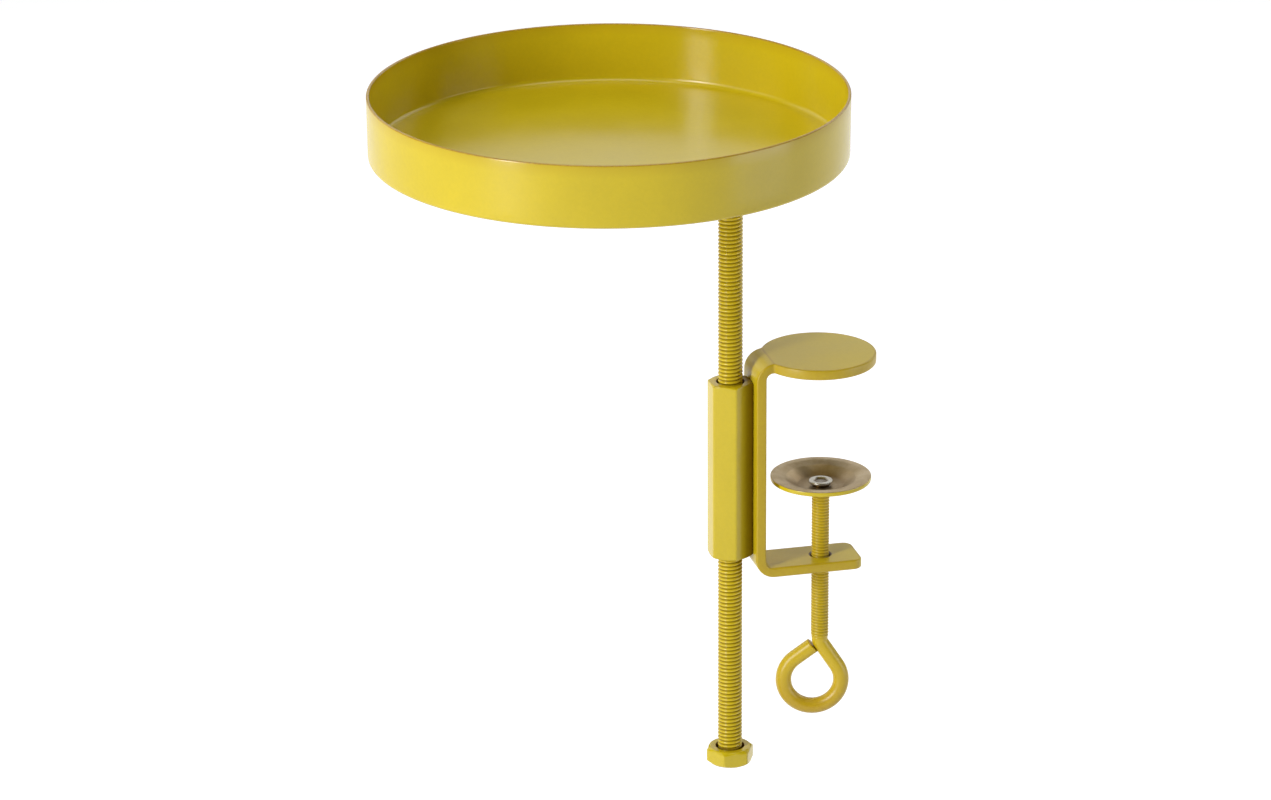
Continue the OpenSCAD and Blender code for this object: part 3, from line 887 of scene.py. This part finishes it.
def shown(tree, other_ray):
    """1 for the camera's rays and for those of one other kind, and 0 for all the rest."""
    rays = add(tree, "ShaderNodeLightPath", {}, {}).outputs
    return combined(tree, "MAXIMUM", rays["Is Camera Ray"], rays[other_ray])


def surroundings():
    """World that shows white but lights nothing."""
    world = bpy.data.worlds.new("studio")
    bpy.context.scene.world = world
    world.use_nodes = True
    sky = world.node_tree.nodes["Background"]
    sky.inputs["Color"].default_value = (1, 1, 1, 1)
    world.node_tree.links.new(shown(world.node_tree, "Is Transmission Ray"), sky.inputs["Strength"])


def paper_floor():
    """White floor below the object: it gives a little light from below, is mirrored, and keeps the
    shadow."""
    mesh = bpy.data.meshes.new("floor")
    corners = [(x * FLOOR_HALF, y * FLOOR_HALF, FLOOR_Z) for x, y in ((-1, -1), (1, -1), (1, 1), (-1, 1))]
    mesh.from_pydata(corners, [], [(0, 1, 2, 3)])
    floor = bpy.data.objects.new("floor", mesh)
    bpy.context.scene.collection.objects.link(floor)
    paper, tree, shader = new_finish("white paper")
    shader.inputs["Base Color"].default_value = (0.35, 0.35, 0.35, 1)
    shader.inputs["Roughness"].default_value = 0.9
    shader.inputs["Emission Color"].default_value = (1, 1, 1, 1)
    glow = add(tree, "ShaderNodeMapRange", {}, {
        "Value": shown(tree, "Is Glossy Ray"), "To Min": 0.3, "To Max": 0.9,
    })
    tree.links.new(glow.outputs[0], shader.inputs["Emission Strength"])
    mesh.materials.append(paper)


# The object

def place(piece, body, finish, slot, *nodes):
    """Gives a piece its finish, its body and the solids that it stands for; its slot is not used."""
    piece.data.materials.append(finish)
    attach(piece, body)
    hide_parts(*nodes)


photograph_camera()
surroundings()
lamps()
paper_floor()

coat_group = powder_coat_group()
mustard = linear(205, 182, 24)
coat = painted("satin mustard coat", coat_group, mustard)
bore_coat = painted("satin coat on bored bars", coat_group, mustard, dull_grooves=True)
# The threads' coat is a lighter copy of the mustard: painted light that brightens their crests
thread_coat = painted(
    "coat on threads", coat_group, linear(216, 190, 32), peel=0.02, groove_depth=0.8, dull_grooves=True,
)
screw_coat = painted(
    "coat on the clamp screw", coat_group, linear(207, 178, 28), peel=0.02, gloss=0.34, groove_depth=0.4,
    dull_grooves=True,
)
bar_coat = painted("satin coat on the bar", coat_group, mustard, gloss=0.36)
weld_coat = painted("coat on welds", coat_group, mustard, peel=0.05, gloss=0.42)
cup_steel = bare_steel(
    "brown pressed steel", linear(200, 181, 148), linear(172, 150, 110), linear(96, 64, 24),
    roughness=0.42, scale=160.0,
)
rivet_steel = bare_steel(
    "riveted steel", linear(208, 206, 198), linear(180, 174, 160), linear(84, 64, 28),
    roughness=0.3, scale=500.0,
)

place(pressed_tray(), "tray", coat, "coated_steel", "tray")
place(threaded_rod(), "rod", thread_coat, "coated_steel", "threaded_rod")
place(nut("hidden_tray_nut", tray_nut_low, tray_nut_high), "tray", bore_coat, "coated_steel", "tray_nut")
place(nut("stop_nut_turned", stop_nut_low, stop_nut_high), "tray", bore_coat, "coated_steel", "stop_nut")
place(guide_sleeve(), "bracket", bore_coat, "coated_steel", "rod_sleeve")
place(clamp_bar(), "bracket", bar_coat, "coated_steel", "clamp_bracket")
place(eye_screw(), "screw", screw_coat, "coated_steel", "clamp_screw")
place(riveted_pin(), "screw", rivet_steel, "cup_steel", "clamp_screw")
cup = swivel_cup()
place(cup, "cup", cup_steel, "cup_steel", "swivel_cup")
coat_underneath(cup, coat)
place(sleeve_beads(), "bracket", weld_coat, "coated_steel", "sleeve_welds")
place(nut_beads(), "tray", weld_coat, "coated_steel", "tray_welds")

bpy.context.scene.view_settings.view_transform = "Standard"
